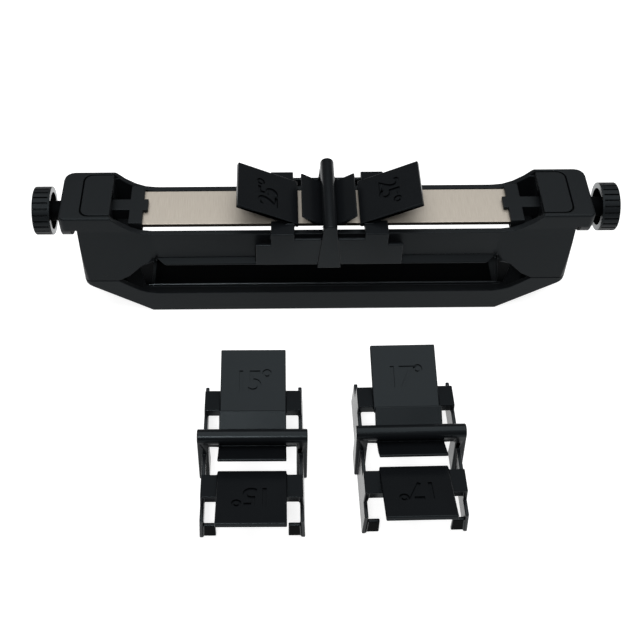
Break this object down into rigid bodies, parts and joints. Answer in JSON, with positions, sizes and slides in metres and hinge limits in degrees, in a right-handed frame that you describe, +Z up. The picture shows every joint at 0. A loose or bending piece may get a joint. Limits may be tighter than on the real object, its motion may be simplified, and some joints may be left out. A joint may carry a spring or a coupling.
{
  "type": "knife sharpener",
  "caption": "Bench knife sharpener: a clamped abrasive plate on a black two-tower stand, with clip-on angle guides, one sliding on the rails and the others loose in front.",
  "frame": {"origin": "middle of the rubber pad's underside, on the table", "axes": "+X to the right along the plate, +Y away from the viewer, +Z up"},
  "size_m": [0.2388, 0.156, 0.0593],
  "materials": {
    "black_plastic": "satin black moulded plastic",
    "guide_plastic": "satin black moulded plastic",
    "plate_steel": "fine abrasive on steel, brushed across",
    "insert_brass": "turned",
    "black_steel": "blackened",
    "zinc_steel": "zinc plated",
    "pad_rubber": "matte"
  },
  "bodies": {
    "frame": {"base_tray": "black_plastic", "upper_frame": "black_plastic", "left_tower_cap": "black_plastic", "right_tower_cap": "black_plastic", "non_slip_pad": "pad_rubber", "sharpening_plate": "plate_steel", "left_threaded_insert": "insert_brass", "front_left_tray_screw": "zinc_steel", "back_left_tray_screw": "zinc_steel", "right_threaded_insert": "insert_brass", "front_right_tray_screw": "zinc_steel", "back_right_tray_screw": "zinc_steel"},
    "guide_25": {"guide_25": "guide_plastic"},
    "guide_15": {"guide_15": "guide_plastic"},
    "guide_17": {"guide_17": "guide_plastic"},
    "left_jaw": {"left_clamp_jaw": "black_plastic"},
    "left_knob_and_screw": {"left_knob": "black_plastic", "left_clamp_screw": "black_steel", "left_screw_clip": "zinc_steel"},
    "right_jaw": {"right_clamp_jaw": "black_plastic"},
    "right_knob_and_screw": {"right_knob": "black_plastic", "right_clamp_screw": "black_steel", "right_screw_clip": "zinc_steel"}
  },
  "joints": [
    {"name": "left_jaw_slide", "type": "slide", "parent": "frame", "child": "left_jaw", "axis": [-1, 0, 0], "range_m": [0, 0.004]},
    {"name": "left_knob_turn", "type": "hinge", "parent": "left_jaw", "child": "left_knob_and_screw", "pos_m": [-0.1, 0, 0.0444], "axis": [-1, 0, 0], "range_deg": [0, 1440]},
    {"name": "right_jaw_slide", "type": "slide", "parent": "frame", "child": "right_jaw", "axis": [1, 0, 0], "range_m": [0, 0.004]},
    {"name": "right_knob_turn", "type": "hinge", "parent": "right_jaw", "child": "right_knob_and_screw", "pos_m": [0.1, 0, 0.0444], "axis": [1, 0, 0], "range_deg": [0, 1440]},
    {"name": "guide_slide", "type": "slide", "parent": "frame", "child": "guide_25", "axis": [1, 0, 0], "range_m": [-0.04, 0.038]},
    {"name": "guide_15_lift", "type": "slide", "parent": "frame", "child": "guide_15", "axis": [0, 0, 1], "range_m": [0, 0.08]},
    {"name": "guide_17_lift", "type": "slide", "parent": "frame", "child": "guide_17", "axis": [0, 0, 1], "range_m": [0, 0.08]}
  ],
  "couplings": [
    {"joint": "left_jaw_slide", "follows": "left_knob_turn", "m_per_rad": 0.00015915},
    {"joint": "right_jaw_slide", "follows": "right_knob_turn", "m_per_rad": 0.00015915}
  ]
}
